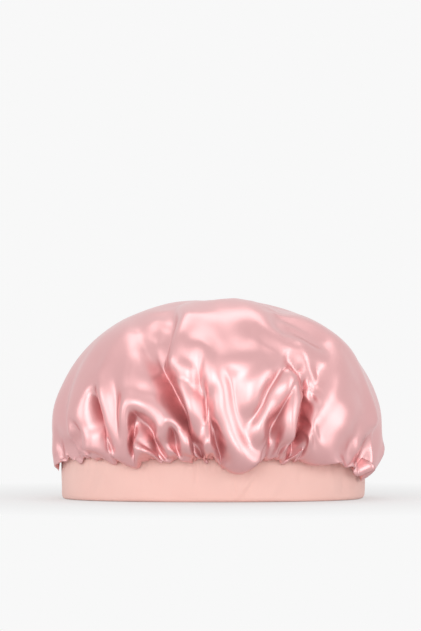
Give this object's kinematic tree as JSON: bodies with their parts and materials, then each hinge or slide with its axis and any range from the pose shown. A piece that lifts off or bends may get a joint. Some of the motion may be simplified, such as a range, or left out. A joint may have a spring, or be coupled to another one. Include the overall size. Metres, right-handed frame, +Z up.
{
  "type": "hair bonnet",
  "caption": "Round satin hair bonnet: a lined, gathered pouf crown on a folded jersey head band with a hidden flat elastic.",
  "frame": {"origin": "middle of the head opening, in the plane of the band's lower fold", "axes": "+Z up through the crown, +X along the long side of the band, -Y towards the front"},
  "size_m": [0.2333, 0.1937, 0.1443],
  "materials": {
    "satin": "shiny satin weave",
    "lining_satin": "satin weave, shiny side in",
    "jersey": "matte knit",
    "elastic": "woven elastic",
    "thread": "spun thread",
    "label_ribbon": "blank ribbon"
  },
  "bodies": {
    "band": {"band_jersey": "jersey", "band_elastic": "elastic", "elastic_join_stitches": "thread", "band_seam_stitches": "thread", "crown_gathering_thread": "thread", "lining_gathering_thread": "thread", "seam_overlock": "thread"},
    "crown": {"crown_satin": "satin", "crown_lining": "lining_satin"},
    "label": {"care_label": "label_ribbon"}
  },
  "joints": [
    {"name": "crown_squash", "type": "slide", "parent": "band", "child": "crown", "axis": [0, 0, 1], "range_m": [-0.07, 0], "deforming": ["crown_satin", "crown_lining"]},
    {"name": "label_flip", "type": "hinge", "parent": "band", "child": "label", "pos_m": [0, 0.06861, 0.0294], "axis": [-1, 0, 0], "range_deg": [0, 120]}
  ]
}
